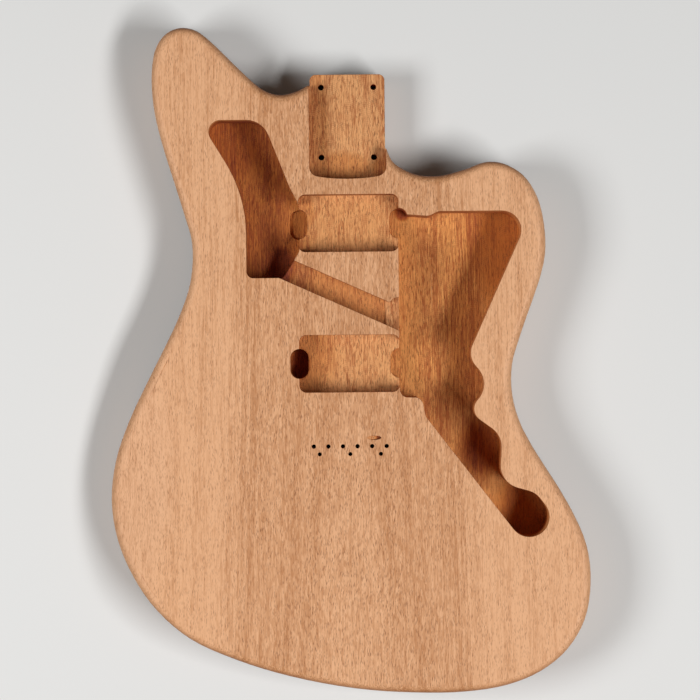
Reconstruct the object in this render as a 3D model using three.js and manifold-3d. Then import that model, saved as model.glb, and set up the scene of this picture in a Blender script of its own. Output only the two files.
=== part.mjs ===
// Bare body of an offset electric guitar: two bookmatched mahogany boards glued edge to edge, then sawn,
// contoured, routed and drilled as one. It lies on its back, in millimetres: +X is the treble side, +Y points
// to the neck and +Z out of the front. The origin is on the back face, on the centreline, below the heel end
// of the neck pocket. Every place along Y is measured from that heel line.

import * as THREE from 'three';
import { mergeVertices } from 'three/addons/utils/BufferGeometryUtils.js';
import Module from 'manifold-3d';

const wasm = await Module();
wasm.setup();

// Blank: overall size, and the glued joint, which lies just off the centreline
const bodyLength = 482;
const bodyWidth = 346.4;
const bodyThickness = 44.45;
const jointFromCentre = 0.5625;
const glueThickness = 0.125;

// Edge rounding of the front and the back, and the smaller one round the heel on the back
const edgeRound = 6.35;
const heelRoundShare = 0.95;
const heelRoundRunout = 25;

// Forearm contour on the front and belly contour on the back: dishes turned about upright axes beyond the
// bass edge. Each starts level with the face at its rim and eases into a bevel towards the edge.
const forearmRim = 224;
const forearmAxisX = -341;
const forearmAxisY = -206;
const forearmEasing = 80;
const forearmBevel = THREE.MathUtils.degToRad(13);
const bellyRim = 120;
const bellyAxisX = -158;
const bellyAxisY = -69;
const bellyEasing = 120;
const bellyBevel = THREE.MathUtils.degToRad(17);

// Neck pocket, the tongue of wood that carries its floor, and the four neck screws
const pocketWidth = 55.6;
const pocketLength = 76.5;
const pocketDepth = 15.9;
const pocketCorner = 7.2;
const heelBow = 145;
const tongueInset = 0.6;
const tongueCorner = 4.4;
const bassShoulder = 8.2;
const trebleShoulder = 53;
const neckScrewHole = 4.4;
const neckScrewSpacingX = 38.1;
const neckScrewSpacingY = 50.8;
const neckScrewCentreShare = 0.5464;

// Two pickup routes with a deeper leg recess at each end
const pickupWidth = 72.4;
const pickupHeight = 41.4;
const pickupDepth = 19.05;
const pickupCorner = 5.2;
const neckPickupFromHeel = 31.9;
const bridgePickupFromHeel = 133.2;
const legWidth = 12.8;
const legHeight = 21.3;
const legDepth = 34.93;

// Rhythm circuit cavity on the bass side, open to the neck pickup route
const rhythmWidth = 71.3;
const rhythmLength = 114.1;
const rhythmDepth = 31.75;
const rhythmAboveHeel = 43;
const rhythmOverlap = 0.7;
const rhythmUpperRound = 17.5;
const rhythmTipRound = 8.5;
const rhythmFlankRound = 100;
const rhythmFootRound = 5;

// Wire channel from the rhythm cavity to the control cavity, with a shallower mouth
const channelWidth = 15.9;
const channelDepth = 12.7;
const channelAngle = THREE.MathUtils.degToRad(-24.2);
const channelFromHeel = 84.9;
const channelIntoCavity = 16.5;
const mouthLength = 10.6;
const mouthDepth = 11.1;
const mouthShift = 7.6;

// Control cavity on the treble side: switch bay, two lobes that clear the pots, and a round end for the jack
const controlWidth = 107;
const controlLength = 235.3;
const controlDepth = 38.1;
const controlFromHeel = 24;
const controlOverlap = 0.1;
const controlCornerRound = 14;
const controlTipRound = 2.5;
const controlStepRound = 7;
const controlFootRound = 6;
const potRound = 16.4;
const potWebRound = 9.6;
const jackRound = 14.4;

// Bridge: strings pass through the body, three screws behind them, and the ground wire's slanting hole
const stringHole = 3.2;
const stringSpacing = 10.5;
const stringFromHeel = 192.9;
const ferruleBore = 7.9;
const ferruleDepth = 9.5;
const bridgeScrewHole = 3;
const bridgeScrewDepth = 20;
const bridgeScrewSpacing = 22.05;
const bridgeScrewBehind = 5.6;
const groundHole = 3.2;
const groundSlope = THREE.MathUtils.degToRad(18);
const groundFromCentre = 17.3;
const groundAhead = 6;
const groundReachShare = 0.45;

// How finely the shapes are cut, and how far a cutter runs past what it cuts
const stepsPerKnot = 4;
const arcStep = THREE.MathUtils.degToRad(10);
const arcChord = 6;
const roundSteps = 7;
const dishSteps = 5;
const dishSegments = 120;
const holeSegments = 16;
const overrun = 2;

// Outline from the bass cutaway round to the treble cutaway, as shares of the body's width and length
const outlineShares = [
  // Bass cutaway and horn
  [-0.107, 0.1317], [-0.140, 0.1270], [-0.175, 0.1346], [-0.2155, 0.1594], [-0.291, 0.2125],
  [-0.317, 0.2253], [-0.347, 0.2288], [-0.375, 0.2210], [-0.397, 0.2006], [-0.407, 0.1639],
  // Bass waist
  [-0.404, 0.1120], [-0.389, 0.0612], [-0.344, -0.0459], [-0.326, -0.0944], [-0.329, -0.1473],
  [-0.343, -0.1830], [-0.368, -0.2251], [-0.415, -0.2915],
  // Bass bout
  [-0.461, -0.3585], [-0.491, -0.4191], [-0.501, -0.4793], [-0.489, -0.5373], [-0.456, -0.5934],
  [-0.405, -0.6452], [-0.337, -0.6873],
  // Tail
  [-0.243, -0.7187], [-0.130, -0.7444], [0.006, -0.7635], [0.130, -0.7705], [0.237, -0.7697],
  [0.324, -0.7600], [0.394, -0.7396],
  // Treble bout
  [0.449, -0.7075], [0.486, -0.6629], [0.499, -0.6079], [0.491, -0.5519], [0.455, -0.4913],
  [0.360, -0.3766],
  // Treble waist
  [0.339, -0.3257], [0.339, -0.2801], [0.357, -0.2355], [0.407, -0.1286], [0.410, -0.0820],
  // Treble horn and cutaway
  [0.395, -0.0295], [0.365, 0.0041], [0.323, 0.0216], [0.288, 0.0237], [0.245, 0.0131],
  [0.193, 0.0039], [0.151, 0.0046], [0.118, 0.0129], [0.093, 0.0263],
];

// Corner places as shares of a cavity's width and length, from its upper bass corner
const rhythmTipShares = [0, 0];
const rhythmFlankShares = [0.464, 0.475];
const rhythmFootShares = [[0.464, 1], [0.830, 1], [1, 0.836]];
const rhythmWallShares = [[1, 0.541], [0.905, 0.425]];
const rhythmUpperShares = [0.637, 0];
const controlTipShares = [0, 0.007];
const controlStepShares = [[0.207, 0.0145], [0.269, 0]];
const controlCornerShares = [0.899, 0];
const controlWaistShares = [0.458, 0.445];
const firstPotShares = [[0.567, 0.504], [0.567, 0.558]];
const potWebShares = [0.454, 0.612];
const secondPotShares = [0.686, 0.689];
const jackNeckShares = [[0.668, 0.834], [0.911, 0.865]];
const jackShares = [[1, 0.919], [1, 1], [0.798, 1]];
const controlFootShares = [[0.172, 0.628], [0.148, 0.570], [0, 0.569]];
const heelBowShares = [-1, -0.55, -0.3, 0, 0.3, 0.55, 1];

// Turns a closed geometry into a solid that can be joined and cut
function solid(geometry) {
  geometry.deleteAttribute('normal');
  geometry.deleteAttribute('uv');
  const merged = mergeVertices(geometry);
  const vertProperties = new Float32Array(merged.attributes.position.array);
  const triVerts = new Uint32Array(merged.index.array);
  return new wasm.Manifold(new wasm.Mesh({ numProp: 3, vertProperties, triVerts }));
}

// Upright prism over a closed outline
function prism(points, bottom, top) {
  const shape = new THREE.Shape(points);
  const geometry = new THREE.ExtrudeGeometry(shape, { depth: top - bottom, bevelEnabled: false });
  geometry.translate(0, 0, bottom);
  return solid(geometry);
}

// Pocket cut down from the front to a depth
function pocketCut(points, depth) {
  return prism(points, bodyThickness - depth, bodyThickness + overrun);
}

// Upright round hole between two heights
function hole(diameter, x, y, bottom, top) {
  const geometry = new THREE.CylinderGeometry(diameter / 2, diameter / 2, top - bottom, holeSegments);
  geometry.rotateX(Math.PI / 2);
  geometry.translate(x, y, (bottom + top) / 2);
  return solid(geometry);
}

function corner(x, y, round) {
  return { at: new THREE.Vector2(x, y), round };
}

// Half angle at a corner, directions to its neighbours, and how much of each side its rounding takes
function cornerRounding(corners, index) {
  const count = corners.length;
  const { at, round } = corners[index];
  const back = corners[(index + count - 1) % count].at.clone().sub(at);
  const ahead = corners[(index + 1) % count].at.clone().sub(at);
  const length = ahead.length();
  back.normalize();
  ahead.normalize();
  const halfAngle = Math.acos(THREE.MathUtils.clamp(back.dot(ahead), -1, 1)) / 2;
  return { at, back, ahead, length, halfAngle, reach: round / Math.tan(halfAngle) };
}

// Points along the arc that rounds one corner
function cornerArc({ at, back, ahead, halfAngle, reach }) {
  if (reach === 0) {
    return [at];
  }
  const radius = reach * Math.tan(halfAngle);
  const bisector = back.clone().add(ahead).normalize();
  const centre = at.clone().addScaledVector(bisector, radius / Math.sin(halfAngle));
  const start = at.clone().addScaledVector(back, reach).sub(centre);
  const turn = Math.sign(ahead.cross(back)) * (Math.PI - 2 * halfAngle);
  const finest = Math.min(arcStep, arcChord / radius);
  const steps = Math.max(1, Math.ceil(Math.abs(turn) / finest));
  const points = [];
  for (let step = 0; step <= steps; step += 1) {
    const spoke = start.clone().rotateAround(new THREE.Vector2(), (turn * step) / steps);
    points.push(spoke.add(centre));
  }
  return points;
}

// Closed outline through rounded corners. Where two roundings meet on a short side, both give way alike.
function roundedOutline(corners) {
  const roundings = corners.map((_, index) => cornerRounding(corners, index));
  const room = roundings.map((rounding, index) => {
    const next = roundings[(index + 1) % roundings.length];
    return Math.min(1, rounding.length / Math.max(rounding.reach + next.reach, Number.EPSILON));
  });
  return roundings.flatMap((rounding, index) => {
    const before = room[(index + room.length - 1) % room.length];
    return cornerArc({ ...rounding, reach: rounding.reach * Math.min(before, room[index]) });
  });
}

// Rounded rectangle about a centre
function roundedRectangle(x, y, width, height, round) {
  return roundedOutline([
    corner(x - width / 2, y - height / 2, round),
    corner(x + width / 2, y - height / 2, round),
    corner(x + width / 2, y + height / 2, round),
    corner(x - width / 2, y + height / 2, round),
  ]);
}

// Body outline seen from the front, counter-clockwise: the sawn curve, then the tongue under the neck
function bodyOutline() {
  const side = pocketWidth / 2 - tongueInset;
  const knots = [
    new THREE.Vector3(-side, pocketLength - bassShoulder, 0),
    ...outlineShares.map(([x, y]) => new THREE.Vector3(x * bodyWidth, y * bodyLength, 0)),
    new THREE.Vector3(side, pocketLength - trebleShoulder, 0),
  ];
  const curve = new THREE.CatmullRomCurve3(knots, false, 'centripetal');
  const sawn = curve.getPoints((knots.length - 1) * stepsPerKnot).map(({ x, y }) => new THREE.Vector2(x, y));
  const tongue = roundedOutline([
    corner(side, 0, 0),
    corner(side, pocketLength, tongueCorner),
    corner(-side, pocketLength, tongueCorner),
    corner(-side, 0, 0),
  ]).slice(1, -1);
  return { points: [...sawn, ...tongue], sawnCount: sawn.length };
}

// Drop of a dish below its face at a distance inside its rim
function dishDrop(dish, inside) {
  const slope = Math.tan(dish.bevel);
  const easingLength = dish.easing * slope;
  if (inside >= easingLength) {
    return (inside - easingLength / 2) * slope;
  }
  const row = easingLength / dishSteps;
  const lower = Math.floor(Math.max(inside, 0) / row) * row;
  const rise = ((lower + row) ** 2 - lower ** 2) / (2 * dish.easing);
  return lower ** 2 / (2 * dish.easing) + (rise * (Math.max(inside, 0) - lower)) / row;
}

function dishDropAt(dish, x, y) {
  return dishDrop(dish, dish.rim - Math.hypot(x - dish.axisX, y - dish.axisY));
}

// Waste above a dish in a face at height zero
function dishWaste(dish) {
  const easingLength = dish.easing * Math.tan(dish.bevel);
  const profile = [new THREE.Vector2(0, -dishDrop(dish, dish.rim))];
  for (let step = dishSteps; step >= 0; step -= 1) {
    const inside = (easingLength * step) / dishSteps;
    profile.push(new THREE.Vector2(dish.rim - inside, -dishDrop(dish, inside)));
  }
  profile.push(new THREE.Vector2(dish.rim, overrun), new THREE.Vector2(0, overrun));
  return new THREE.LatheGeometry(profile, dishSegments).rotateX(Math.PI / 2);
}

const forearm = {
  rim: forearmRim,
  axisX: forearmAxisX,
  axisY: forearmAxisY,
  easing: forearmEasing,
  bevel: forearmBevel,
};

const belly = {
  rim: bellyRim,
  axisX: bellyAxisX,
  axisY: bellyAxisY,
  easing: bellyEasing,
  bevel: bellyBevel,
};

function forearmWaste() {
  return solid(dishWaste(forearm).translate(forearmAxisX, forearmAxisY, bodyThickness));
}

function bellyWaste() {
  return solid(dishWaste(belly).rotateX(Math.PI).translate(bellyAxisX, bellyAxisY, 0));
}

// Inward mitre at each point of a counter-clockwise outline: one unit in from both of its sides
function mitres(points) {
  const normals = points.map((point, index) => {
    const along = points[(index + 1) % points.length].clone().sub(point).normalize();
    return new THREE.Vector2(-along.y, along.x);
  });
  return normals.map((normal, index) => {
    const before = normals[(index + normals.length - 1) % normals.length];
    return before.clone().add(normal).divideScalar(1 + before.dot(normal));
  });
}

// Rounding radius at each outline point. It falls to the heel's smaller one over a run-out beside the tongue.
function roundingRadii({ points, sawnCount }, runout) {
  const heelRound = Math.min(edgeRound, tongueCorner * heelRoundShare);
  return points.map((point, index) => {
    if (index >= sawnCount) {
      return heelRound;
    }
    const away = Math.min(point.distanceTo(points[0]), point.distanceTo(points[sawnCount - 1]));
    return THREE.MathUtils.lerp(heelRound, edgeRound, THREE.MathUtils.smoothstep(away, 0, runout));
  });
}

// Section that a rounding cutter clears: how far in from the edge, and how far out of the face
function roundingSection(radius) {
  const section = [];
  for (let step = 0; step <= roundSteps; step += 1) {
    const angle = (Math.PI / 2) * (step / roundSteps);
    section.push([radius * (1 - Math.cos(angle)), radius * (Math.sin(angle) - 1)]);
  }
  section.push([radius, overrun], [-overrun, overrun], [-overrun, -radius]);
  return section;
}

// Waste that the rounding cutter takes all round one face. It rides on the face, down into its contour.
function edgeWaste(outline, radii, faceHeightAt, outward) {
  const inward = mitres(outline.points);
  const positions = [];
  outline.points.forEach((point, index) => {
    roundingSection(radii[index]).forEach(([inset, rise]) => {
      const { x, y } = point.clone().addScaledVector(inward[index], inset);
      positions.push(x, y, faceHeightAt(x, y) + outward * rise);
    });
  });
  const ring = outline.points.length;
  const around = positions.length / 3 / ring;
  const index = [];
  for (let i = 0; i < ring; i += 1) {
    for (let j = 0; j < around; j += 1) {
      const here = i * around + j;
      const beside = i * around + ((j + 1) % around);
      const next = ((i + 1) % ring) * around + j;
      const across = ((i + 1) % ring) * around + ((j + 1) % around);
      const quad = [here, beside, across, here, across, next];
      index.push(...(outward > 0 ? quad : quad.reverse()));
    }
  }
  const geometry = new THREE.BufferGeometry();
  geometry.setAttribute('position', new THREE.Float32BufferAttribute(positions, 3));
  geometry.setIndex(index);
  return solid(geometry);
}

function frontEdgeWaste(outline) {
  const faceHeight = (x, y) => bodyThickness - dishDropAt(forearm, x, y);
  return edgeWaste(outline, roundingRadii(outline, edgeRound), faceHeight, 1);
}

function backEdgeWaste(outline) {
  const faceHeight = (x, y) => dishDropAt(belly, x, y);
  return edgeWaste(outline, roundingRadii(outline, heelRoundRunout), faceHeight, -1);
}

// Neck pocket: parallel sides, an end bowed like the neck's heel, open past the tongue
function neckPocket() {
  const half = pocketWidth / 2;
  const heelEnd = heelBowShares.map((share) => {
    const x = half * share;
    const y = heelBow - Math.sqrt(heelBow ** 2 - x ** 2);
    return corner(x, y, Math.abs(share) === 1 ? pocketCorner : 0);
  });
  const open = pocketLength + overrun;
  return pocketCut(roundedOutline([...heelEnd, corner(half, open, 0), corner(-half, open, 0)]), pocketDepth);
}

function neckScrewHoles() {
  return [-1, 1].flatMap((side) => [-1, 1].map((row) => {
    const x = (side * neckScrewSpacingX) / 2;
    const y = pocketLength * neckScrewCentreShare + (row * neckScrewSpacingY) / 2;
    return hole(neckScrewHole, x, y, -overrun, bodyThickness);
  }));
}

// One pickup route with the recesses for the pickup's two mounting legs
function pickupRoute(fromHeel) {
  const route = roundedRectangle(0, -fromHeel, pickupWidth, pickupHeight, pickupCorner);
  const legs = [-1, 1].map((side) => {
    const x = (side * pickupWidth) / 2;
    return pocketCut(roundedRectangle(x, -fromHeel, legWidth, legHeight, legWidth / 2), legDepth);
  });
  return [pocketCut(route, pickupDepth), ...legs];
}

const rhythmRight = rhythmOverlap - pickupWidth / 2;
const controlLeft = pickupWidth / 2 - controlOverlap;

function rhythmCorner([across, down], round) {
  const x = rhythmRight - rhythmWidth * (1 - across);
  return corner(x, rhythmAboveHeel - rhythmLength * down, round);
}

function controlCorner([across, down], round) {
  return corner(controlLeft + controlWidth * across, -controlFromHeel - controlLength * down, round);
}

function rhythmCavity() {
  const outline = roundedOutline([
    rhythmCorner(rhythmTipShares, rhythmTipRound),
    rhythmCorner(rhythmFlankShares, rhythmFlankRound),
    ...rhythmFootShares.map((place) => rhythmCorner(place, rhythmFootRound)),
    ...rhythmWallShares.map((place) => rhythmCorner(place, rhythmUpperRound)),
    rhythmCorner(rhythmUpperShares, rhythmUpperRound),
  ]);
  return pocketCut(outline, rhythmDepth);
}

function controlCavity() {
  const outline = roundedOutline([
    ...controlFootShares.map((place) => controlCorner(place, controlFootRound)),
    controlCorner(controlTipShares, controlTipRound),
    ...controlStepShares.map((place) => controlCorner(place, controlStepRound)),
    controlCorner(controlCornerShares, controlCornerRound),
    controlCorner(controlWaistShares, controlCornerRound),
    ...firstPotShares.map((place) => controlCorner(place, potRound)),
    controlCorner(potWebShares, potWebRound),
    controlCorner(secondPotShares, potRound),
    ...jackNeckShares.map((place) => controlCorner(place, potRound)),
    ...jackShares.map((place) => controlCorner(place, jackRound)),
  ]);
  return pocketCut(outline, controlDepth);
}

// A stretch of the slanting wire channel between two places along X
function channelStretch(fromX, toX, depth) {
  const slope = Math.tan(channelAngle);
  const halfDrop = channelWidth / 2 / Math.cos(channelAngle);
  const wall = (x, side) => corner(x, x * slope - channelFromHeel + side * halfDrop, 0);
  return pocketCut(roundedOutline([wall(fromX, -1), wall(toX, -1), wall(toX, 1), wall(fromX, 1)]), depth);
}

function wireChannel() {
  const mouthStart = controlLeft - mouthLength;
  const end = controlLeft + channelIntoCavity;
  const mouthY = controlLeft * Math.tan(channelAngle) - channelFromHeel + mouthShift;
  const top = bodyThickness + overrun;
  return [
    channelStretch(rhythmRight - channelIntoCavity, mouthStart, channelDepth),
    channelStretch(mouthStart, end, mouthDepth),
    hole(channelWidth, controlLeft, mouthY, bodyThickness - mouthDepth, top),
  ];
}

// Six string holes, counterbored from the back for their ferrules
function stringHoles() {
  const strings = 6;
  return Array.from({ length: strings }, (_, string) => string - (strings - 1) / 2).flatMap((place) => {
    const x = place * stringSpacing;
    return [
      hole(stringHole, x, -stringFromHeel, -overrun, bodyThickness + overrun),
      hole(ferruleBore, x, -stringFromHeel, -overrun, ferruleDepth),
    ];
  });
}

function bridgeScrewHoles() {
  return [-1, 0, 1].map((place) => {
    const y = -stringFromHeel - bridgeScrewBehind;
    const bottom = bodyThickness - bridgeScrewDepth;
    return hole(bridgeScrewHole, place * bridgeScrewSpacing, y, bottom, bodyThickness + overrun);
  });
}

// Ground wire's hole: it enters under the bridge at a low slope and comes out in the control cavity
function groundWireHole() {
  const start = groundFromCentre - overrun / Math.tan(groundSlope);
  const length = (controlLeft + controlWidth * groundReachShare - start) / Math.cos(groundSlope);
  const geometry = new THREE.CylinderGeometry(groundHole / 2, groundHole / 2, length, holeSegments);
  geometry.translate(0, length / 2, 0);
  geometry.rotateZ(-Math.PI / 2 - groundSlope);
  geometry.rotateX(Math.PI / 2);
  geometry.translate(start, groundAhead - stringFromHeel, bodyThickness + overrun);
  return solid(geometry);
}

// The whole body as it leaves the router, before it is told apart into its boards
function machinedBody() {
  const outline = bodyOutline();
  const waste = [
    forearmWaste(),
    bellyWaste(),
    frontEdgeWaste(outline),
    backEdgeWaste(outline),
    neckPocket(),
    ...neckScrewHoles(),
    ...pickupRoute(neckPickupFromHeel),
    ...pickupRoute(bridgePickupFromHeel),
    rhythmCavity(),
    controlCavity(),
    ...wireChannel(),
    ...stringHoles(),
    ...bridgeScrewHoles(),
    groundWireHole(),
  ];
  return waste.reduce((body, cut) => body.subtract(cut), prism(outline.points, 0, bodyThickness));
}

// What of the body lies between two upright planes across X
function between(body, left, right) {
  const geometry = new THREE.BoxGeometry(right - left, bodyLength * 2, bodyThickness * 2);
  geometry.translate((left + right) / 2, 0, bodyThickness / 2);
  return body.intersect(solid(geometry));
}

function part(name, shape, colour, roughness) {
  const mesh = shape.getMesh();
  const geometry = new THREE.BufferGeometry();
  geometry.setAttribute('position', new THREE.BufferAttribute(mesh.vertProperties, 3));
  geometry.setIndex(new THREE.BufferAttribute(mesh.triVerts, 1));
  const material = new THREE.MeshStandardMaterial({ color: colour, roughness, metalness: 0, flatShading: true });
  const object = new THREE.Mesh(geometry, material);
  object.name = name;
  return object;
}

const body = machinedBody();
const glueLeft = jointFromCentre - glueThickness / 2;
const glueRight = jointFromCentre + glueThickness / 2;

const guitarBody = new THREE.Group();
guitarBody.add(
  part('bass_side_board', between(body, -bodyWidth, glueLeft), '#cf9d78', 0.72),
  part('centre_glue_line', between(body, glueLeft, glueRight), '#a8744c', 0.55),
  part('treble_side_board', between(body, glueRight, bodyWidth), '#cc9974', 0.72),
);

export default guitarBody;
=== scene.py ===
# Bare body of an offset electric guitar, lying on its back on a pale studio floor, seen from straight above.
import math

import bmesh
import bpy
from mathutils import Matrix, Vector


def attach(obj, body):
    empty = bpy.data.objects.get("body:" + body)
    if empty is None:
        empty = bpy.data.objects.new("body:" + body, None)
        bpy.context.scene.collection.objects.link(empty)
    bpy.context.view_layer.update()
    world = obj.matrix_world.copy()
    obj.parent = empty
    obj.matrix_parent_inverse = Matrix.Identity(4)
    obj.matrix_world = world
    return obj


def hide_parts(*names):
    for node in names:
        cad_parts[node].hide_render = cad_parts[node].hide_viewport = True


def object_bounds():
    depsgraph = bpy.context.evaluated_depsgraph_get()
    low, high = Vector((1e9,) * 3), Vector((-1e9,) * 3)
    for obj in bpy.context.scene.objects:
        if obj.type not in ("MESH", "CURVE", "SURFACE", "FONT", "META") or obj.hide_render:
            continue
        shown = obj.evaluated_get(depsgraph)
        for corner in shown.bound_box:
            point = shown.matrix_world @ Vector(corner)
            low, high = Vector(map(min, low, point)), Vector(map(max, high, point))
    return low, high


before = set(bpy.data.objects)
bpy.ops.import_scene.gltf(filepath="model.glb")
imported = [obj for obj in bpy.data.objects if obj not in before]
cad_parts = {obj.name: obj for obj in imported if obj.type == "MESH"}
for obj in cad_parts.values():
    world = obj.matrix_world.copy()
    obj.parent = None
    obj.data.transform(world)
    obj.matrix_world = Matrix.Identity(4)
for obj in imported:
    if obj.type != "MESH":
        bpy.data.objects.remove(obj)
cad_low, cad_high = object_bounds()
scene = bpy.context.scene
scene.view_settings.view_transform = "Standard"

# The camera looks straight down at the front of the body. The photograph was taken square to it from about
# two metres away, with the neck pocket at the top and the whole body turned by half a degree.
camera_height = 2.2
photo_metres_per_pixel = 0.0007206
photo_pixels = 700
photo_turn = math.radians(0.52)
photo_middle_across = 0.00043
photo_middle_along = -0.1235
film_width = 36.0
farthest_seen = 20.0

lens = bpy.data.cameras.new("studio_camera")
lens.sensor_width = film_width
lens.lens = film_width * camera_height / (photo_metres_per_pixel * photo_pixels)
lens.clip_end = farthest_seen
camera = bpy.data.objects.new("studio_camera", lens)
camera.location = (photo_middle_across, photo_middle_along, cad_high.z + camera_height)
camera.rotation_euler = (0.0, 0.0, -photo_turn)
scene.collection.objects.link(camera)
scene.camera = camera


# The two boards are halves of one mahogany plank, opened like a book and glued along the middle. The glued
# blank was sawn to its outline, routed and drilled, and its faces, roundings and outer arrises were sanded.
millimetres = 1000.0
joint_places = (0.0005, 0.000625)

# Each board has three finishes, in this order.
sanded_finish = 0
routed_finish = 1
drilled_finish = 2

# Sandpaper eased the arrises by this width. The turns tell flat, round and sharp edges apart, and flat faces
# outweigh round ones in the shading where they meet.
arris_width = 0.0004
arris_steps = 2
arris_profile = 0.5
arris_least_turn = math.radians(40)
smooth_most_turn = math.radians(30)
flat_most_turn = math.radians(0.3)
flat_face_weight = 100

# An edge shorter than the first is closed up, and points or levels nearer than the others count as one.
shortest_edge = 0.0003
same_point = 0.000001
same_level = 0.00001

# The drilled holes are the neck's four screws, the six strings, the bridge's three screws, and the ground
# wire's slanting hole, which comes out as a short slot. A face there is a bore's wall unless it lies level.
drilled_reach = 0.0045
bore_wall_most_level = 0.97
neck_screw_across = 0.01905
neck_screw_rows = (0.0164, 0.0672)
strings = 6
string_step = 0.0105
string_row = -0.1929
bridge_screw_step = 0.02205
bridge_screw_row = -0.1985
ground_slot_across = 0.0173
ground_slot_step = 0.0035
ground_slot_steps = range(-1, 3)
ground_slot_row = -0.1869
drilled_places = [(side * neck_screw_across, row) for side in (-1, 1) for row in neck_screw_rows]
drilled_places += [((string - (strings - 1) / 2) * string_step, string_row) for string in range(strings)]
drilled_places += [(side * bridge_screw_step, bridge_screw_row) for side in (-1, 0, 1)]
for step in ground_slot_steps:
    drilled_places.append((ground_slot_across + step * ground_slot_step, ground_slot_row))

# The wire channel's mouth is shallower than the channel, and the cutter left a short ramp between them.
mouth_depth = 0.0111
step_ramp = 0.0014
lip_reach = 0.0001


def is_at_a_hole(place):
    """Whether a place lies at one of the drilled holes, seen from the front."""
    return any(math.hypot(place.x - x, place.y - y) < drilled_reach for x, y in drilled_places)


def is_drilled(edge):
    """Rims of drilled holes stay crisp."""
    return is_at_a_hole((edge.verts[0].co + edge.verts[1].co) / 2)


def is_bored(face):
    """The wall of a drilled hole or of a ferrule's bore."""
    return is_at_a_hole(face.calc_center_median()) and abs(face.normal.z) < bore_wall_most_level


def is_channel_step(edge):
    """The edge where the wire channel's shallower mouth drops to the channel's own floor."""
    if not edge.is_manifold or not edge.is_convex or edge.calc_face_angle() < arris_least_turn:
        return False
    mouth_floor = cad_high.z - mouth_depth
    is_lip = all(abs(mouth_floor - corner.co.z) < lip_reach for corner in edge.verts)
    foot = min(corner.co.z for face in edge.link_faces for corner in face.verts)
    return is_lip and foot > mouth_floor - 2 * step_ramp


def is_glued(edge):
    """The two boards were sanded flush across their joint, so its edges stay crisp too."""
    return any(all(abs(corner.co.x - x) < same_level for corner in edge.verts) for x in joint_places)


def is_arris(edge):
    """A sharp edge that stands out and was eased, so none at the joint or round a drilled hole."""
    if not edge.is_manifold or not edge.is_convex or edge.calc_face_angle() <= arris_least_turn:
        return False
    return not is_drilled(edge) and not is_glued(edge)


def outside_faces(sheet):
    """Every face that sandpaper reaches from the front without crossing an arris."""
    front = cad_high.z - same_level
    reached = {face for face in sheet.faces if min(corner.co.z for corner in face.verts) > front}
    waiting = list(reached)
    while waiting:
        face = waiting.pop()
        for edge in face.edges:
            if not edge.is_manifold or edge.calc_face_angle() > arris_least_turn:
                continue
            if is_glued(edge) or is_drilled(edge):
                continue
            for neighbour in edge.link_faces:
                if neighbour not in reached:
                    reached.add(neighbour)
                    waiting.append(neighbour)
    return reached


def finished_board(node, name):
    """A finer copy of a board: flat faces merged, arrises eased as by sandpaper, round faces smooth."""
    sheet = bmesh.new()
    sheet.from_mesh(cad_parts[node].data)
    bmesh.ops.remove_doubles(sheet, verts=sheet.verts, dist=same_point)
    bmesh.ops.dissolve_limit(sheet, angle_limit=flat_most_turn, verts=sheet.verts, edges=sheet.edges)
    bmesh.ops.dissolve_degenerate(sheet, edges=sheet.edges, dist=shortest_edge)
    steps = [edge for edge in sheet.edges if is_channel_step(edge)]
    bmesh.ops.bevel(sheet, geom=steps, offset=step_ramp, segments=1, affect="EDGES", clamp_overlap=False)

    outside = outside_faces(sheet)
    for face in sheet.faces:
        if face in outside:
            face.material_index = sanded_finish
        elif is_bored(face):
            face.material_index = drilled_finish
        else:
            face.material_index = routed_finish

    bmesh.ops.bevel(
        sheet,
        geom=[edge for edge in sheet.edges if is_arris(edge)],
        offset=arris_width,
        offset_type="OFFSET",
        segments=arris_steps,
        profile=arris_profile,
        affect="EDGES",
        clamp_overlap=False,
        material=-1,
    )
    # Two arrises that meet can leave an edge of no length, which would come out as a stray triangle.
    bmesh.ops.dissolve_degenerate(sheet, edges=sheet.edges, dist=same_point)
    bmesh.ops.recalc_face_normals(sheet, faces=sheet.faces)
    for face in sheet.faces:
        face.smooth = True
    for edge in sheet.edges:
        if edge.is_manifold and edge.calc_face_angle() > smooth_most_turn:
            edge.smooth = False

    mesh = bpy.data.meshes.new(name)
    sheet.to_mesh(mesh)
    sheet.free()
    board = bpy.data.objects.new(name, mesh)
    scene.collection.objects.link(board)
    weighted = board.modifiers.new("flat_faces_stay_flat", "WEIGHTED_NORMAL")
    weighted.mode = "FACE_AREA"
    weighted.weight = flat_face_weight
    weighted.keep_sharp = True
    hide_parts(node)
    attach(board, "root")
    return board


bass_board = finished_board("bass_side_board", "bass_side_board_finished")
treble_board = finished_board("treble_side_board", "treble_side_board_finished")


def linear(red, green, blue):
    """A screen's colour, from 0 to 255, in the values that light is reckoned in, by the sRGB curve."""
    light = []
    for seen in (red / 255, green / 255, blue / 255):
        light.append(((seen + 0.055) / 1.055) ** 2.4 if seen > 0.04045 else seen / 12.92)
    return (*light, 1.0)


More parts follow.
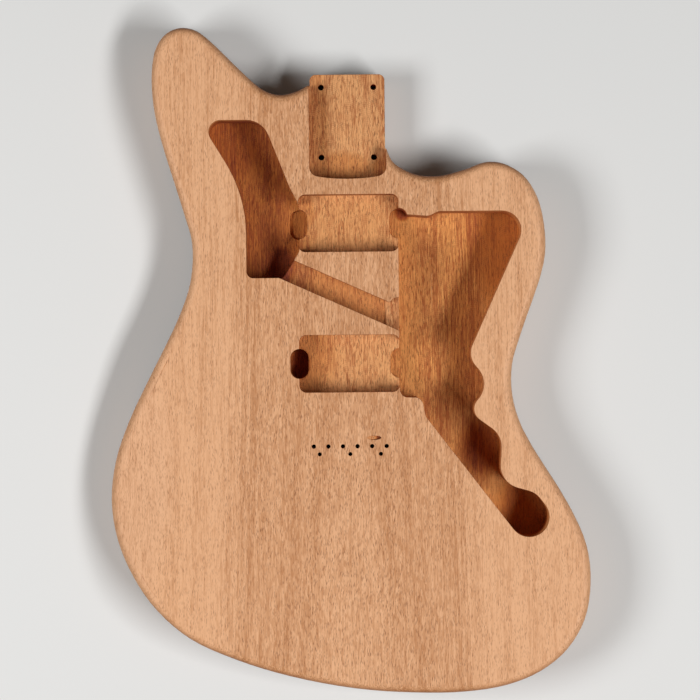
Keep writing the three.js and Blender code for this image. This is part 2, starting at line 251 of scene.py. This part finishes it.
class Recipe:
    """Places the nodes of one material or node group, and joins them as it goes."""

    def __init__(self, tree):
        self.tree = tree

    def place(self, kind, settings, inputs, output=0):
        """A node of one kind, with its settings, its inputs by name or number, and the output in use."""
        node = self.tree.nodes.new(kind)
        for setting, value in settings.items():
            setattr(node, setting, value)
        for socket, value in inputs.items():
            if isinstance(value, bpy.types.NodeSocket):
                self.tree.links.new(value, node.inputs[socket])
            else:
                node.inputs[socket].default_value = value
        return node.outputs[output]

    def work(self, operation, first, second=0.0, third=0.0):
        """One sum."""
        return self.place("ShaderNodeMath", {"operation": operation}, {0: first, 1: second, 2: third})

    def ease(self, value, low, high, start=0.0, end=1.0):
        """A soft step from start to end as the value goes from low to high."""
        settings = {"interpolation_type": "SMOOTHSTEP", "clamp": True}
        inputs = {"Value": value, "From Min": low, "From Max": high, "To Min": start, "To Max": end}
        return self.place("ShaderNodeMapRange", settings, inputs)

    def length(self, first, second):
        """The long side of a right-angled triangle."""
        squares = self.work("MULTIPLY_ADD", first, first, self.work("MULTIPLY", second, second))
        return self.work("SQRT", squares)

    def centred(self, value):
        """Noise from 0 to 1, made to swing about nothing."""
        return self.work("SUBTRACT", value, 0.5)

    def point(self, x, y, z):
        """Three numbers as one place."""
        return self.place("ShaderNodeCombineXYZ", {}, {0: x, 1: y, 2: z})

    def apart(self, vector):
        """The three numbers of a place or direction."""
        first = self.place("ShaderNodeSeparateXYZ", {}, {0: vector})
        return first.node.outputs

    def scaled(self, place, scale):
        """A place in other units."""
        return self.place("ShaderNodeVectorMath", {"operation": "SCALE"}, {"Vector": place, "Scale": scale})

    def stretched(self, place, cell):
        """A place in millimetres, counted in cells of a size in millimetres."""
        size = [1 / side for side in cell]
        return self.place("ShaderNodeVectorMath", {"operation": "MULTIPLY"}, {0: place, 1: size})

    def off_place(self, x, y, middle, reach):
        """How far a point is from a middle, counted in reaches."""
        off_x = self.work("DIVIDE", self.work("SUBTRACT", x, middle[0]), reach[0])
        off_y = self.work("DIVIDE", self.work("SUBTRACT", y, middle[1]), reach[1])
        return self.length(off_x, off_y)

    def bands(self, distance, width):
        """Soft bands of one width along a distance, which swing about nothing."""
        inputs = {"W": distance, "Scale": 1 / width, "Detail": 1.0}
        return self.centred(self.place("ShaderNodeTexNoise", {"noise_dimensions": "1D"}, inputs))

    def cells(self, place):
        """How far a point is from its cell's middle, and a number from 0 to 1 that the whole cell shares."""
        distance = self.place("ShaderNodeTexVoronoi", {}, {"Vector": place, "Scale": 1.0})
        chance = self.place("ShaderNodeSeparateColor", {}, {0: distance.node.outputs["Color"]})
        return distance, chance

    def cloud(self, place, detail=2.0, roughness=0.5):
        """Soft noise from 0 to 1 in cells of one unit."""
        inputs = {"Vector": place, "Scale": 1.0, "Detail": detail, "Roughness": roughness}
        return self.place("ShaderNodeTexNoise", {}, inputs)

    def blend(self, share, first, second, how="MIX"):
        """The second colour over the first by its share. They are inputs 6 and 7 of a Mix node."""
        settings = {"data_type": "RGBA", "blend_type": how, "clamp_factor": True}
        return self.place("ShaderNodeMix", settings, {0: share, 6: first, 7: second}, output=2)


# Mahogany's grain shows on every face of the boards. Growth rings lie round a heart below the joint and are
# mirrored from board to board, and ribbons of interlocked fibre, bundles and open pores run lengthwise.

# How the plank lay in the tree. The grain's sizes are in millimetres, and its places count from the frame's
# origin. A value called an easing holds where it starts and ends, and then its values before and after.
front_height = cad_high.z * millimetres
joint_middle = sum(joint_places) / 2 * millimetres
joint_wander = 9.0
joint_wander_cell = (45, 170, 45)
heart_below_front = 67.5
heart_rise = 0.05
sway_reach = 1.6
sway_cell = (8, 50, 8)

# Growth bands are broad and narrow, and the narrow ones are clearest where the rings stand straight.
broad_band = 9.0
broad_strength = 0.7
narrow_band = 2.2
narrow_strength = 0.45
narrow_adds_where_straight = 0.9
straight_from = 82.0
straight_to = 110.0
straight_eases_over = 8.0
ribbon_cell = (7, 90, 14)
ribbon_strength = 0.8

# Lines of darker wood that the photograph shows: how far from the heart, how wide, and how dark.
dark_lines = (
    (62.3, 2.6, 0.3),
    (70.0, 3.5, 0.28),
    (74.3, 2.2, 0.3),
    (92.0, 2.6, 0.55),
    (96.5, 1.5, 0.35),
)
# The wood is paler near the heart, and paler again farther from it.
pale_heart_easing = (53.0, 60.0, -0.25, 0.0)
paler_outwards_easing = (89.0, 114.0, 0.0, -0.5)

# Long threads show away from the joint, and less at the outer edges and towards the tail.
thread_cell = (0.8, 75, 0.8)
thread_off_joint_easing = (35.0, 75.0, 0.1, 1.5)
thread_outer_easing = (105.0, 150.0, 1.0, 0.6)
thread_tail_easing = (-190.0, -110.0, 0.5, 1.0)

# Fibres fray the bundles and pores, which are coarsest at the joint.
fibre_cell = (0.9, 26, 0.9)
fibre_detail = 4.0
fibre_roughness = 0.75
fray_across = 0.5
fray_along = 5.0
bundle_cell = (0.62, 5.0, 0.62)
coarse_easing = (40.0, 110.0, 1.0, 0.7)
middle_tone = 0.5

# Pores are long and short, and crowd together in places.
pore_core = 0.14
pore_edge = 0.32
long_pore_cell = (0.82, 5.8, 0.82)
long_pore_share = 0.95
short_pore_cell = (0.64, 3.7, 0.64)
short_pore_share = 0.9
short_pore_strength = 0.8
crowd_cell = (9, 45, 12)
crowd_easing = (0.3, 0.6, 0.6, 1.0)

# Where the tints of end grain and walls and the painted shade of deep floors set in: the first two by how
# squarely a face looks lengthways or up, and the third by its depth.
end_grain_easing = (0.35, 0.95, 0.0, 1.0)
upright_easing = (0.2, 0.8, 1.0, 0.0)
deep_shade_easing = (14.0, 34.0, 0.0, 1.0)

# Places in the cavities with painted shade, where narrow deep recesses look darker: the middle, the reach
# both ways, how strong, and the depth below the front face where it starts. The last is the wire hole's
# slot, from the face itself.
painted_shade_places = (
    (-88.0, 30.0, 34.0, 40.0, 0.56, 8.0),
    (-72.0, -10.0, 40.0, 50.0, 0.36, 8.0),
    (-60.0, -48.0, 36.0, 34.0, 0.42, 8.0),
    (-36.0, -133.2, 9.0, 13.0, 1.0, 8.0),
    (-38.0, -128.0, 30.0, 34.0, 0.28, 8.0),
    (-50.0, -62.0, 14.0, 18.0, 1.0, 8.0),
    (39.7, -23.5, 6.0, 6.0, 1.0, 8.0),
    (-32.0, -24.0, 9.0, 14.0, 0.22, 8.0),
    (-21.0, 36.0, 8.0, 48.0, 0.16, 8.0),
    (-6.0, 9.0, 26.0, 12.0, 0.24, 8.0),
    (24.0, 8.0, 8.0, 9.0, 0.24, 8.0),
    (108.0, -44.0, 23.0, 48.0, 0.4, 30.0),
    (84.0, -108.0, 15.0, 48.0, 0.18, 30.0),
    (96.0, -196.0, 17.0, 22.0, 0.62, 14.0),
    (128.0, -240.0, 22.0, 26.0, 0.52, 18.0),
    (0.0, -32.0, 48.0, 26.0, 0.05, 8.0),
    (23.2, -187.0, 5.2, 4.0, 1.0, -4.0),
)
painted_shade_core = 0.5
painted_shade_edge = 1.2
painted_shade_fades_over = 4.0
channel_depth = 12.7
channel_floor_easing = (0.3, 0.8, 0.26, 0.0)

# Fibres that the cutter tore up on the control cavity's floor: a pale thread, and a scatter of pale chips.
torn_thread_across = 60.6
torn_thread_from = -95.0
torn_thread_to = -66.0
torn_thread_tapers_over = 3.0
torn_thread_sway = -0.8
torn_thread_easing = (0.15, 0.45, 1.0, 0.0)
torn_bundle_easing = (-0.2, 0.1, 0.2, 1.0)
chip_middle = (59.5, -60.5)
chip_reach = (3.5, 7.0)
chip_cell = (1.9, 2.6, 1.9)
chip_easing = (0.16, 0.3, 1.0, 0.0)
chip_chance_easing = (0.45, 0.5, 0.0, 1.0)
chip_scatter_easing = (0.7, 1.0, 1.0, 0.0)
torn_depth_easing = (36.0, 36.5, 0.0, 1.0)

# The cutter's arcs on a routed floor: its radius, the step between its passes, its travel in each turn, and
# where it pressed hard enough to mark.
cutter_radius = 9.5
pass_step = 13.0
turn_travel = 1.4
pressed_cell = (12, 12, 12)
pressed_easing = (0.4, 0.65, 0.0, 1.0)
mark_tint = 0.1

# What pores, fibres and marks add to the roughness, and the relief of each as a share of the whole.
pore_roughness = 0.15
fibre_roughness_swing = 0.2
mark_roughness = -0.12
fibre_height = 0.35
mark_height = -0.7
torn_height = 1.2

# A finish that gives no value of its own to a socket has the one written here, which is the sanded wood's.
white = linear(255, 255, 255)
grain = bpy.data.node_groups.new("bookmatched_grain", "ShaderNodeTree")
for name, kind, value in (
    ("Light Wood", "NodeSocketColor", linear(236, 179, 133)),
    ("Dark Wood", "NodeSocketColor", linear(196, 134, 86)),
    ("Pore Colour", "NodeSocketColor", linear(124, 68, 26)),
    ("End Tint", "NodeSocketColor", linear(226, 208, 192)),
    ("Wall Tint", "NodeSocketColor", white),
    # The deep tint is painted shade, warmer on deep floors.
    ("Deep Shade Tint", "NodeSocketColor", white),
    # Painted shade for narrow, deep recesses, by a power of this tint.
    ("Painted Shade Tint", "NodeSocketColor", white),
    ("Pore Strength", "NodeSocketFloat", 0.75),
    ("Band Strength", "NodeSocketFloat", 0.65),
    ("Fibre Strength", "NodeSocketFloat", 1.6),
    ("Bundle Strength", "NodeSocketFloat", 0.85),
    ("Torn Strength", "NodeSocketFloat", 0.0),
    ("Cutter Marks", "NodeSocketFloat", 0.0),
    ("Dry Roughness", "NodeSocketFloat", 0.58),
):
    socket = grain.interface.new_socket(name=name, in_out="INPUT", socket_type=kind)
    socket.default_value = value
grain.interface.new_socket(name="Colour", in_out="OUTPUT", socket_type="NodeSocketColor")
grain.interface.new_socket(name="Roughness", in_out="OUTPUT", socket_type="NodeSocketFloat")
grain.interface.new_socket(name="Height", in_out="OUTPUT", socket_type="NodeSocketFloat")

make = Recipe(grain)
given = grain.nodes.new("NodeGroupInput").outputs
coordinates = grain.nodes.new("ShaderNodeTexCoord").outputs["Object"]
place = make.scaled(coordinates, millimetres)
across, along, up = make.apart(place)
depth = make.work("SUBTRACT", front_height, up)

# How far a point is from the heart, after the plank was opened like a book about the joint.
wander = make.centred(make.cloud(make.stretched(place, joint_wander_cell)))
sway = make.centred(make.cloud(make.stretched(place, sway_cell), detail=1.0))
from_joint = make.work("ABSOLUTE", make.work("SUBTRACT", across, joint_middle))
from_joint = make.work("MULTIPLY_ADD", wander, joint_wander, from_joint)
above_heart = make.work("SUBTRACT", heart_below_front, depth)
above_heart = make.work("MULTIPLY_ADD", along, heart_rise, above_heart)
ring = make.length(from_joint, above_heart)
mirrored = make.point(from_joint, along, up)
bent = make.point(make.work("MULTIPLY_ADD", sway, sway_reach, across), along, up)

# The tone goes from light to dark wood. First come the bands, ribbons and lines.
broad = make.bands(ring, broad_band)
narrow = make.bands(ring, narrow_band)
ribbon = make.centred(make.cloud(make.stretched(mirrored, ribbon_cell), detail=3.0))
tone = make.work("MULTIPLY", broad, broad_strength)
straight = make.ease(ring, straight_from, straight_from + straight_eases_over)
straight_end = make.ease(ring, straight_to - straight_eases_over, straight_to, 1.0, 0.0)
straight = make.work("MULTIPLY", straight, straight_end)
narrow_tone = make.work("MULTIPLY_ADD", straight, narrow_adds_where_straight, narrow_strength)
tone = make.work("MULTIPLY_ADD", narrow, narrow_tone, tone)
tone = make.work("MULTIPLY_ADD", ribbon, ribbon_strength, tone)
for radius, width, strength in dark_lines:
    off_line = make.work("ABSOLUTE", make.work("SUBTRACT", ring, radius))
    tone = make.work("ADD", tone, make.ease(off_line, 0.0, width, strength, 0.0))
tone = make.work("ADD", tone, make.ease(ring, *pale_heart_easing))
tone = make.work("ADD", tone, make.ease(ring, *paler_outwards_easing))
tone = make.work("MULTIPLY", tone, given["Band Strength"])

# Then come the fibres, threads and bundles.
fibre = make.cloud(make.stretched(bent, fibre_cell), detail=fibre_detail, roughness=fibre_roughness)
frayed_across, frayed_along, frayed_up = make.apart(bent)
frayed_across = make.work("MULTIPLY_ADD", make.centred(fibre), fray_across, frayed_across)
frayed_along = make.work("MULTIPLY_ADD", make.centred(fibre), fray_along, frayed_along)
frayed = make.point(frayed_across, frayed_along, frayed_up)
tone = make.work("MULTIPLY_ADD", make.centred(fibre), given["Fibre Strength"], tone)
thread = make.centred(make.cloud(make.stretched(mirrored, thread_cell), detail=1.0))
threaded = make.ease(from_joint, *thread_off_joint_easing)
threaded = make.work("MULTIPLY", threaded, make.ease(from_joint, *thread_outer_easing))
threaded = make.work("MULTIPLY", threaded, make.ease(along, *thread_tail_easing))
tone = make.work("MULTIPLY_ADD", thread, threaded, tone)
coarse = make.ease(from_joint, *coarse_easing)
bundle_chance = make.cells(make.stretched(frayed, bundle_cell))[1]
bundle = make.work("MULTIPLY", make.centred(bundle_chance), coarse)
tone = make.work("MULTIPLY_ADD", bundle, given["Bundle Strength"], tone)
shade = make.place("ShaderNodeClamp", {}, {"Value": make.work("ADD", tone, middle_tone)})
colour = make.blend(shade, given["Light Wood"], given["Dark Wood"])


def pores(cell, open_share):
    """Open pores as dark dashes, each in a cell of its own, where some cells are left whole."""
    distance, chance = make.cells(make.stretched(frayed, cell))
    is_open = make.work("GREATER_THAN", chance, 1 - open_share)
    return make.work("MULTIPLY", make.ease(distance, pore_core, pore_edge, 1.0, 0.0), is_open)


crowd = make.cloud(make.stretched(mirrored, crowd_cell), detail=1.0)
crowd = make.work("MULTIPLY", make.ease(crowd, *crowd_easing), coarse)
long_pores = pores(long_pore_cell, long_pore_share)
short_pores = make.work("MULTIPLY", pores(short_pore_cell, short_pore_share), short_pore_strength)
pore_mask = make.work("MULTIPLY", make.work("MAXIMUM", long_pores, short_pores), crowd)
colour = make.blend(make.work("MULTIPLY", pore_mask, given["Pore Strength"]), colour, given["Pore Colour"])

# Faces across the fibres are darker, and walls keep a tone of their own. Deep floors take a warmer
# painted shade.
facing = make.apart(grain.nodes.new("ShaderNodeNewGeometry").outputs["Normal"])
end_grain = make.ease(make.work("ABSOLUTE", facing["Y"]), *end_grain_easing)
upright = make.ease(make.work("ABSOLUTE", facing["Z"]), *upright_easing)
colour = make.blend(end_grain, colour, given["End Tint"], how="MULTIPLY")
colour = make.blend(upright, colour, given["Wall Tint"], how="MULTIPLY")
colour = make.blend(make.ease(depth, *deep_shade_easing), colour, given["Deep Shade Tint"], how="MULTIPLY")

# Painted shade darkens by a power of its tint, and lightly on the wire channel's narrow floor at its depth.
off_channel = make.work("ABSOLUTE", make.work("SUBTRACT", depth, channel_depth))
painted_shade = make.ease(make.work("ADD", off_channel, upright), *channel_floor_easing)
for x, y, reach_x, reach_y, strength, from_depth in painted_shade_places:
    off_spot = make.off_place(across, along, (x, y), (reach_x, reach_y))
    below = make.ease(depth, from_depth, from_depth + painted_shade_fades_over)
    spot = make.work("MULTIPLY", make.ease(off_spot, painted_shade_core, painted_shade_edge, strength, 0.0), below)
    painted_shade = make.work("MAXIMUM", painted_shade, spot)
shade_darkening = make.place("ShaderNodeVectorMath", {"operation": "POWER"}, {0: given["Painted Shade Tint"], 1: painted_shade})
colour = make.blend(1.0, colour, shade_darkening, how="MULTIPLY")

# The torn thread sways with the fibres and breaks up with their bundles, and the chips lie about its end.
off_thread = make.work("SUBTRACT", across, torn_thread_across)
off_thread = make.work("ABSOLUTE", make.work("MULTIPLY_ADD", sway, torn_thread_sway, off_thread))
torn_thread = make.ease(off_thread, *torn_thread_easing)
tail_end = make.ease(along, torn_thread_from, torn_thread_from + torn_thread_tapers_over)
neck_end = make.ease(along, torn_thread_to - torn_thread_tapers_over, torn_thread_to, 1.0, 0.0)
torn_thread = make.work("MULTIPLY", torn_thread, tail_end)
torn_thread = make.work("MULTIPLY", torn_thread, neck_end)
torn_thread = make.work("MULTIPLY", torn_thread, make.ease(bundle, *torn_bundle_easing))
chip, chip_chance = make.cells(make.stretched(place, chip_cell))
chip = make.work("MULTIPLY", make.ease(chip, *chip_easing), make.ease(chip_chance, *chip_chance_easing))
off_chips = make.off_place(across, along, chip_middle, chip_reach)
chip = make.work("MULTIPLY", chip, make.ease(off_chips, *chip_scatter_easing))
torn = make.work("MULTIPLY", make.work("MAXIMUM", torn_thread, chip), given["Torn Strength"])
torn = make.work("MULTIPLY", torn, make.ease(depth, *torn_depth_easing))
colour = make.blend(torn, colour, given["Light Wood"])

# The cutter's arcs lie on floors only.
off_pass = make.work("WRAP", across, pass_step / 2, -pass_step / 2)
arc = make.work("MULTIPLY", off_pass, off_pass)
arc = make.work("SQRT", make.work("SUBTRACT", cutter_radius**2, arc))
turn = make.work("WRAP", make.work("ADD", along, arc), turn_travel, 0.0)
turn = make.work("ABSOLUTE", make.work("SUBTRACT", turn, turn_travel / 2))
mark = make.ease(turn, 0.0, turn_travel / 2)
pressed = make.ease(make.cloud(make.stretched(place, pressed_cell)), *pressed_easing)
mark = make.work("MULTIPLY", make.work("MULTIPLY", mark, pressed), given["Cutter Marks"])
mark = make.work("MULTIPLY", mark, make.work("SUBTRACT", 1.0, upright))
colour = make.blend(make.work("MULTIPLY", mark, mark_tint), colour, given["Dark Wood"])

roughness = make.work("MULTIPLY_ADD", pore_mask, pore_roughness, given["Dry Roughness"])
roughness = make.work("MULTIPLY_ADD", make.centred(fibre), fibre_roughness_swing, roughness)
roughness = make.work("MULTIPLY_ADD", mark, mark_roughness, roughness)
height = make.work("SUBTRACT", make.work("MULTIPLY", fibre, fibre_height), pore_mask)
height = make.work("MULTIPLY_ADD", mark, mark_height, height)
height = make.work("MULTIPLY_ADD", torn, torn_height, height)
result = grain.nodes.new("NodeGroupOutput").inputs
grain.links.new(colour, result["Colour"])
grain.links.new(roughness, result["Roughness"])
grain.links.new(height, result["Height"])


def wood(name, relief, own_values):
    """A finish of the wood: the grain with values of its own, and relief of its own depth in metres."""
    finish = bpy.data.materials.new(name)
    finish.use_nodes = True
    tree = finish.node_tree
    shader = tree.nodes["Principled BSDF"]
    figure = tree.nodes.new("ShaderNodeGroup")
    figure.node_tree = grain
    for socket, value in own_values.items():
        figure.inputs[socket].default_value = value
    bump = tree.nodes.new("ShaderNodeBump")
    bump.inputs["Distance"].default_value = relief
    tree.links.new(figure.outputs["Height"], bump.inputs["Height"])
    tree.links.new(figure.outputs["Colour"], shader.inputs["Base Color"])
    tree.links.new(figure.outputs["Roughness"], shader.inputs["Roughness"])
    tree.links.new(bump.outputs["Normal"], shader.inputs["Normal"])
    return finish


sanded = wood("sanded_mahogany", relief=0.00008, own_values={})
routed = wood(
    "routed_mahogany",
    relief=0.00015,
    own_values={
        "Light Wood": linear(233, 169, 110),
        "Dark Wood": linear(174, 99, 47),
        "Pore Colour": linear(84, 38, 14),
        "End Tint": linear(246, 240, 232),
        "Wall Tint": linear(240, 226, 206),
        # Painted shade on deep floors, warmer and a little darker.
        "Deep Shade Tint": linear(255, 244, 205),
        # Painted shade in the cavities' narrow, deep recesses.
        "Painted Shade Tint": linear(182, 122, 56),
        "Pore Strength": 0.65,
        "Band Strength": 0.75,
        "Fibre Strength": 2.6,
        "Bundle Strength": 0.8,
        "Torn Strength": 0.7,
        "Cutter Marks": 1.0,
        "Dry Roughness": 0.7,
    },
)
drilled = wood(
    "drilled_mahogany",
    relief=0.0001,
    own_values={
        "Light Wood": linear(236, 160, 104),
        "Dark Wood": linear(176, 100, 52),
        "Pore Colour": linear(90, 40, 16),
        "End Tint": linear(255, 250, 244),
        "Wall Tint": linear(255, 250, 244),
        # Darker painted shade at the ground wire's slot.
        "Painted Shade Tint": linear(96, 48, 30),
        "Dry Roughness": 0.7,
    },
)
for board in (bass_board, treble_board):
    for finish in (sanded, routed, drilled):
        board.data.materials.append(finish)


# The cured film of wood glue between the boards is squeezed as thin as a hair and sanded flush with them. It
# keeps its solid's own shape, and is amber, paler and smoother where less glue was left.
film_cell = (0.4, 7, 1.5)
least_film = 0.3
most_film = 0.7
pale_amber = linear(206, 150, 104)
full_amber = linear(176, 120, 76)
smooth_film_roughness = 0.38
rough_film_roughness = 0.55
film_relief = 0.00003

glue = bpy.data.materials.new("cured_wood_glue")
glue.use_nodes = True
make = Recipe(glue.node_tree)
coordinates = glue.node_tree.nodes.new("ShaderNodeTexCoord").outputs["Object"]
film = make.cloud(make.stretched(make.scaled(coordinates, millimetres), film_cell), detail=3.0)
amber = make.blend(make.ease(film, least_film, most_film), pale_amber, full_amber)
film_roughness = make.ease(film, least_film, most_film, smooth_film_roughness, rough_film_roughness)
squeezed = glue.node_tree.nodes.new("ShaderNodeBump")
squeezed.inputs["Distance"].default_value = film_relief
shader = glue.node_tree.nodes["Principled BSDF"]
glue.node_tree.links.new(film, squeezed.inputs["Height"])
glue.node_tree.links.new(amber, shader.inputs["Base Color"])
glue.node_tree.links.new(film_roughness, shader.inputs["Roughness"])
glue.node_tree.links.new(squeezed.outputs["Normal"], shader.inputs["Normal"])
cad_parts["centre_glue_line"].material_slots[0].material = glue


# The floor is a plain pale sheet just under the body. It looks pale to the camera and in reflections, but
# throws little light back up, so that the body's rounded sides keep their shade.
floor_half = 3.0
floor_gap = 0.0002
floor_roughness = 0.8
floor_looks = (0.8, 0.8, 0.79, 1.0)
floor_throws = (0.06, 0.06, 0.06, 1.0)

corners = [(-floor_half, -floor_half, 0.0), (floor_half, -floor_half, 0.0)]
corners += [(floor_half, floor_half, 0.0), (-floor_half, floor_half, 0.0)]
floor_mesh = bpy.data.meshes.new("floor")
floor_mesh.from_pydata(corners, [], [(0, 1, 2, 3)])
floor = bpy.data.objects.new("floor", floor_mesh)
floor.location = (0.0, photo_middle_along, -floor_gap)
scene.collection.objects.link(floor)
pale = bpy.data.materials.new("pale_floor")
pale.use_nodes = True
make = Recipe(pale.node_tree)
ray = pale.node_tree.nodes.new("ShaderNodeLightPath").outputs
looked_at = make.work("MAXIMUM", ray["Is Camera Ray"], ray["Is Glossy Ray"])
floor_colour = make.blend(looked_at, floor_throws, floor_looks)
shader = pale.node_tree.nodes["Principled BSDF"]
pale.node_tree.links.new(floor_colour, shader.inputs["Base Color"])
shader.inputs["Roughness"].default_value = floor_roughness
floor_mesh.materials.append(pale)


# Two softboxes light the body, as in the photograph: a long narrow one on the treble side, which gives most
# of the light, and a squarer one lower down on the bass side. Both face the middle of the body's front.
lit_place = Vector((0.0, photo_middle_along, cad_high.z))


def softbox(name, lean_across, lean_along, height, length, width, watts):
    """A lamp that leans out from above the body by so much for each metre of its height."""
    lamp = bpy.data.lights.new(name, "AREA")
    lamp.shape = "RECTANGLE"
    lamp.size = length
    lamp.size_y = width
    lamp.energy = watts
    box = bpy.data.objects.new(name, lamp)
    box.location = lit_place + Vector((lean_across, lean_along, 1.0)) * height
    box.rotation_euler = (lit_place - box.location).to_track_quat("-Z", "Y").to_euler()
    scene.collection.objects.link(box)


softbox("treble_softbox", lean_across=0.74, lean_along=-0.32, height=2.3, length=1.7, width=0.5, watts=60.0)
softbox("bass_softbox", lean_across=-1.0, lean_along=-0.15, height=1.42, length=0.9, width=0.75, watts=22.0)

# The rest of the studio gives back a little warm light from all sides.
studio_colour = (1.0, 0.93, 0.85, 1.0)
studio_strength = 0.05
studio = bpy.data.worlds.new("studio")
scene.world = studio
studio.use_nodes = True
background = studio.node_tree.nodes["Background"]
background.inputs["Color"].default_value = studio_colour
background.inputs["Strength"].default_value = studio_strength
